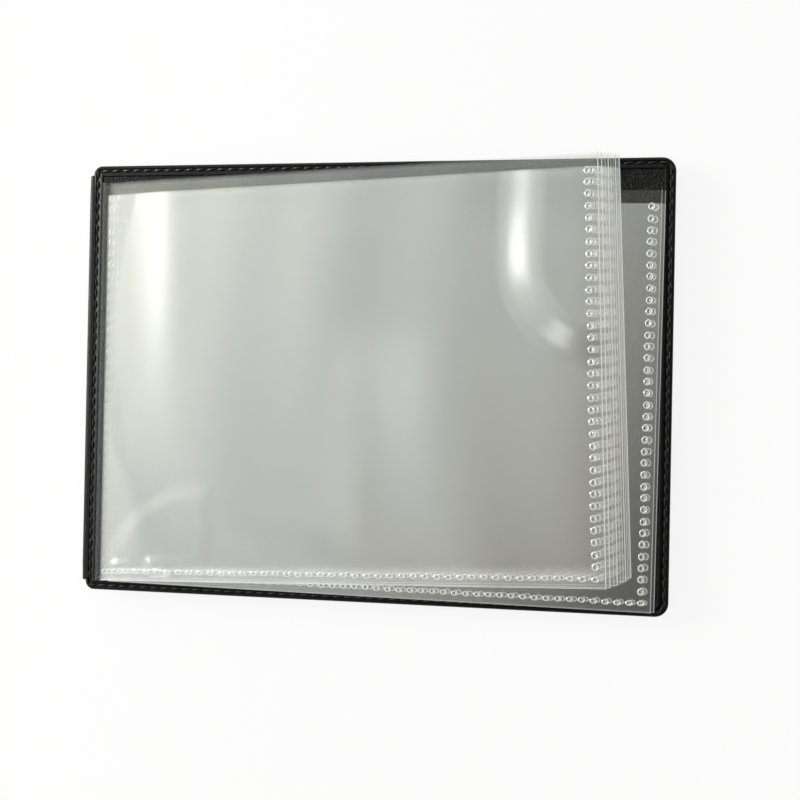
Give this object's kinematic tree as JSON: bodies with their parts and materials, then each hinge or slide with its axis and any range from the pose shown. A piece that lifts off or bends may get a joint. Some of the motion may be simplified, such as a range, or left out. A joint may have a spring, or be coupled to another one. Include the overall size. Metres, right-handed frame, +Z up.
{
  "type": "banknote album",
  "caption": "Pocket album for banknotes: stitched leatherette covers on a soft spine, with clear welded pocket leaves that turn on a fused binding; front cover folded under.",
  "frame": {"origin": "centre of the album's footprint on the table, under the folded front cover's lining", "axes": "+X from the binding to the free edges of the leaves, +Y to the open mouths of the pockets, +Z up"},
  "size_m": [0.195, 0.145, 0.021],
  "materials": {
    "leatherette": "black grained leatherette, satin",
    "lining": "black grained lining, semi-matt",
    "board": "plain grey board",
    "thread": "black polyester thread",
    "film": "clear soft film, glossy"
  },
  "bodies": {
    "back_cover": {"back_outer_skin": "leatherette", "back_board": "board", "back_lining": "lining", "back_inner_stitching": "thread", "back_outer_stitching": "thread", "binding_block": "film", "page_12_back_film": "film", "page_12_front_film": "film"},
    "spine": {"spine_strip": "leatherette"},
    "front_cover": {"front_outer_skin": "leatherette", "front_board": "board", "front_lining": "lining", "front_inner_stitching": "thread", "front_outer_stitching": "thread"},
    "page_11": {"page_11_back_film": "film", "page_11_front_film": "film"},
    "page_10": {"page_10_back_film": "film", "page_10_front_film": "film"},
    "page_09": {"page_09_back_film": "film", "page_09_front_film": "film"},
    "page_08": {"page_08_back_film": "film", "page_08_front_film": "film"},
    "page_07": {"page_07_back_film": "film", "page_07_front_film": "film"},
    "page_06": {"page_06_back_film": "film", "page_06_front_film": "film"},
    "page_05": {"page_05_back_film": "film", "page_05_front_film": "film"},
    "page_04": {"page_04_back_film": "film", "page_04_front_film": "film"},
    "page_03": {"page_03_back_film": "film", "page_03_front_film": "film"},
    "page_02": {"page_02_back_film": "film", "page_02_front_film": "film"},
    "page_01": {"page_01_back_film": "film", "page_01_front_film": "film"}
  },
  "joints": [
    {"name": "spine_fold", "type": "hinge", "parent": "back_cover", "child": "spine", "pos_m": [-0.0971, 0, 0.0074], "axis": [0, -1, 0], "range_deg": [-180, 0]},
    {"name": "front_cover_fold", "type": "hinge", "parent": "spine", "child": "front_cover", "pos_m": [-0.0971, 0, 0], "axis": [0, -1, 0], "range_deg": [-177, 0]},
    {"name": "page_11_turn", "type": "hinge", "parent": "back_cover", "child": "page_11", "pos_m": [-0.0876, 0, 0.01464], "axis": [0, -1, 0], "range_deg": [0, 180]},
    {"name": "page_10_turn", "type": "hinge", "parent": "page_11", "child": "page_10", "pos_m": [-0.0876, 0, 0.01464], "axis": [0, -1, 0], "range_deg": [0, 180]},
    {"name": "page_09_turn", "type": "hinge", "parent": "page_10", "child": "page_09", "pos_m": [-0.0876, 0, 0.01464], "axis": [0, -1, 0], "range_deg": [0, 180]},
    {"name": "page_08_turn", "type": "hinge", "parent": "page_09", "child": "page_08", "pos_m": [-0.0876, 0, 0.01464], "axis": [0, -1, 0], "range_deg": [0, 180]},
    {"name": "page_07_turn", "type": "hinge", "parent": "page_08", "child": "page_07", "pos_m": [-0.0876, 0, 0.01464], "axis": [0, -1, 0], "range_deg": [0, 180]},
    {"name": "page_06_turn", "type": "hinge", "parent": "page_07", "child": "page_06", "pos_m": [-0.0876, 0, 0.01464], "axis": [0, -1, 0], "range_deg": [0, 180]},
    {"name": "page_05_turn", "type": "hinge", "parent": "page_06", "child": "page_05", "pos_m": [-0.0876, 0, 0.01464], "axis": [0, -1, 0], "range_deg": [0, 180]},
    {"name": "page_04_turn", "type": "hinge", "parent": "page_05", "child": "page_04", "pos_m": [-0.0876, 0, 0.01464], "axis": [0, -1, 0], "range_deg": [0, 180]},
    {"name": "page_03_turn", "type": "hinge", "parent": "page_04", "child": "page_03", "pos_m": [-0.0876, 0, 0.01464], "axis": [0, -1, 0], "range_deg": [0, 180]},
    {"name": "page_02_turn", "type": "hinge", "parent": "page_03", "child": "page_02", "pos_m": [-0.0876, 0, 0.01464], "axis": [0, -1, 0], "range_deg": [0, 180]},
    {"name": "page_01_turn", "type": "hinge", "parent": "page_02", "child": "page_01", "pos_m": [-0.0876, 0, 0.01464], "axis": [0, -1, 0], "range_deg": [0, 180]}
  ]
}
